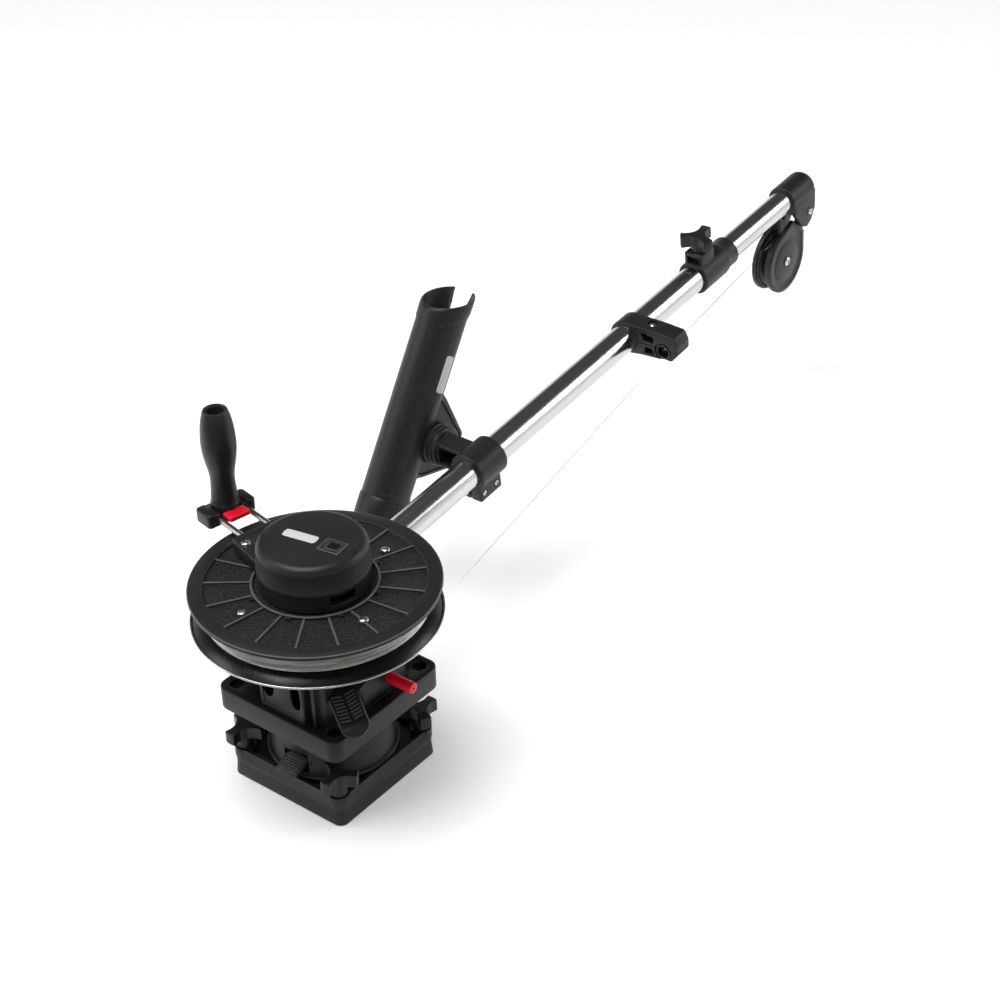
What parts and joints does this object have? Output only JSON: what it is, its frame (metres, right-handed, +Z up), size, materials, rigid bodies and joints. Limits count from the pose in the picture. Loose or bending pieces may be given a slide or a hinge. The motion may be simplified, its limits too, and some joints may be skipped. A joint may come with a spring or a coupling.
{
  "type": "manual fishing downrigger",
  "caption": "Hand-cranked fishing downrigger: flat wire spool on a swivel base, telescoping boom with tip pulley, line guide, adjustable rod holder and depth counter cap",
  "frame": {"origin": "middle of the underside of the deck plate", "axes": "+Z up, +X along the boom towards its tip, +Y towards the rod holder side"},
  "size_m": [1.0781, 0.2822, 0.3329],
  "materials": {
    "black_plastic": "satin moulded plastic",
    "dark_plastic": "satin moulded plastic",
    "gloss_black": "glossy moulded plastic",
    "red_plastic": "bright red moulded plastic",
    "bright_steel": "polished stainless steel",
    "bare_steel": "plain stainless steel",
    "wire_steel": "stranded stainless wire",
    "smoked_window": "smoked clear plastic"
  },
  "bodies": {
    "base": {"deck_plate": "black_plastic", "swivel_base": "black_plastic", "swivel_drum": "black_plastic", "kingpin": "bare_steel"},
    "knob_1": {"star_knob_1": "dark_plastic"},
    "knob_2": {"star_knob_2": "dark_plastic"},
    "knob_3": {"star_knob_3": "dark_plastic"},
    "knob_4": {"star_knob_4": "dark_plastic"},
    "lock_tab": {"lock_tab": "dark_plastic"},
    "head": {"frame_plate": "black_plastic", "frame_housing": "black_plastic", "spool_axle": "bare_steel", "counter_cap": "black_plastic", "counter_window": "smoked_window", "counter_frame": "dark_plastic", "boom_tube": "bright_steel", "boom_plug": "dark_plastic", "holder_clamp": "black_plastic", "clamp_screw": "bare_steel", "holder_bolt": "bare_steel", "guide_upper": "black_plastic", "guide_lower": "black_plastic", "guide_eye": "dark_plastic", "guide_screw": "bare_steel", "lock_collar": "black_plastic", "wire_run": "wire_steel", "wire_lead": "wire_steel"},
    "brake_lever": {"brake_lever": "dark_plastic"},
    "lock_pin": {"lock_pin": "red_plastic"},
    "spool": {"spool_hub": "black_plastic", "lower_flange": "gloss_black", "upper_flange": "black_plastic", "flange_screw_1": "bare_steel", "flange_screw_2": "bare_steel", "flange_screw_3": "bare_steel", "flange_screw_4": "bare_steel", "wire_core": "wire_steel", "wire_winding": "wire_steel"},
    "crank": {"crank_hub": "black_plastic", "crank_screw_1": "bare_steel", "crank_screw_2": "bare_steel", "crank_rod_1": "bright_steel", "crank_rod_2": "bright_steel"},
    "handle": {"handle_block": "dark_plastic", "handle_spindle": "bare_steel"},
    "latch": {"handle_latch": "red_plastic"},
    "grip": {"handle_grip": "dark_plastic"},
    "wheel_1": {"counter_wheel_1": "dark_plastic"},
    "wheel_2": {"counter_wheel_2": "dark_plastic"},
    "wheel_3": {"counter_wheel_3": "dark_plastic"},
    "holder": {"holder_tube": "black_plastic"},
    "lock_knob": {"lock_knob": "dark_plastic"},
    "inner_boom": {"inner_tube": "bright_steel", "end_cap": "black_plastic", "end_cap_bolt": "bare_steel"},
    "pulley": {"pulley_cheek_near": "black_plastic", "pulley_cheek_far": "black_plastic", "sheave_axle": "bare_steel", "wire_tail": "wire_steel"},
    "sheave": {"sheave": "dark_plastic"}
  },
  "joints": [
    {"name": "knob_1_turn", "type": "hinge", "parent": "base", "child": "knob_1", "pos_m": [-0.0595, -0.0595, 0.045], "axis": [0, 0, 1], "continuous": true},
    {"name": "knob_2_turn", "type": "hinge", "parent": "base", "child": "knob_2", "pos_m": [0.0595, -0.0595, 0.045], "axis": [0, 0, 1], "continuous": true},
    {"name": "knob_3_turn", "type": "hinge", "parent": "base", "child": "knob_3", "pos_m": [0.0595, 0.0595, 0.045], "axis": [0, 0, 1], "continuous": true},
    {"name": "knob_4_turn", "type": "hinge", "parent": "base", "child": "knob_4", "pos_m": [-0.0595, 0.0595, 0.045], "axis": [0, 0, 1], "continuous": true},
    {"name": "tab_press", "type": "hinge", "parent": "base", "child": "lock_tab", "pos_m": [-0.0565, -0.008, 0.048], "axis": [0, -1, 0], "range_deg": [0, 6], "stiffness_Nm_per_rad": 0.6, "springref_deg": -2.86},
    {"name": "swivel", "type": "hinge", "parent": "base", "child": "head", "pos_m": [0, 0, 0.09], "axis": [0, 0, 1], "continuous": true},
    {"name": "brake_lift", "type": "hinge", "parent": "head", "child": "brake_lever", "pos_m": [-0.01172, -0.04976, 0.1463], "axis": [-0.6225, 0.7826, 0], "range_deg": [0, 16]},
    {"name": "pin_pull", "type": "slide", "parent": "head", "child": "lock_pin", "axis": [0, -1, 0], "range_m": [0, 0.012]},
    {"name": "spool_turn", "type": "hinge", "parent": "head", "child": "spool", "pos_m": [-0.0032, 0.0034, 0.2], "axis": [0, 0, 1], "continuous": true, "deforming": ["wire_run"]},
    {"name": "crank_back_off", "type": "hinge", "parent": "spool", "child": "crank", "pos_m": [-0.0032, 0.0034, 0.222], "axis": [0, 0, 1], "range_deg": [-20, 0]},
    {"name": "handle_slide", "type": "slide", "parent": "crank", "child": "handle", "axis": [0.1994, 0.9799, 0], "range_m": [-0.025, 0]},
    {"name": "latch_press", "type": "slide", "parent": "handle", "child": "latch", "axis": [-0.1994, -0.9799, 0], "range_m": [0, 0.003], "stiffness_N_per_m": 150, "springref_m": -0.001},
    {"name": "grip_spin", "type": "hinge", "parent": "handle", "child": "grip", "pos_m": [0.02511, 0.14255, 0.28], "axis": [0, 0, 1], "continuous": true},
    {"name": "wheel_3_turn", "type": "hinge", "parent": "head", "child": "wheel_3", "pos_m": [-0.0021, -0.0205, 0.2473], "axis": [-0.1478, 0.989, 0], "continuous": true},
    {"name": "wheel_2_turn", "type": "hinge", "parent": "head", "child": "wheel_2", "pos_m": [-0.0021, -0.0205, 0.2473], "axis": [-0.1478, 0.989, 0], "continuous": true},
    {"name": "wheel_1_turn", "type": "hinge", "parent": "head", "child": "wheel_1", "pos_m": [-0.0021, -0.0205, 0.2473], "axis": [-0.1478, 0.989, 0], "continuous": true},
    {"name": "holder_tilt", "type": "hinge", "parent": "head", "child": "holder", "pos_m": [0.30673, 0.108, 0.16671], "axis": [0, 1, 0], "range_deg": [-30, 50]},
    {"name": "lock_knob_turn", "type": "hinge", "parent": "head", "child": "lock_knob", "pos_m": [0.70438, 0.048, 0.25679], "axis": [-0.1181, 0, 0.993], "continuous": true},
    {"name": "boom_slide", "type": "slide", "parent": "head", "child": "inner_boom", "axis": [0.993, 0, 0.1181], "range_m": [-0.08, 0.5], "deforming": ["wire_lead"]},
    {"name": "pulley_swing", "type": "hinge", "parent": "inner_boom", "child": "pulley", "pos_m": [0.9271, 0.048, 0.22234], "axis": [0, 1, 0], "range_deg": [-40, 12], "deforming": ["wire_tail"]},
    {"name": "sheave_turn", "type": "hinge", "parent": "pulley", "child": "sheave", "pos_m": [0.88806, 0.048, 0.16864], "axis": [0, 1, 0], "continuous": true}
  ],
  "couplings": [
    {"joint": "wheel_3_turn", "follows": "spool_turn", "ratio": 0.2},
    {"joint": "wheel_2_turn", "follows": "spool_turn", "ratio": 0.02},
    {"joint": "wheel_1_turn", "follows": "spool_turn", "ratio": 0.002}
  ]
}
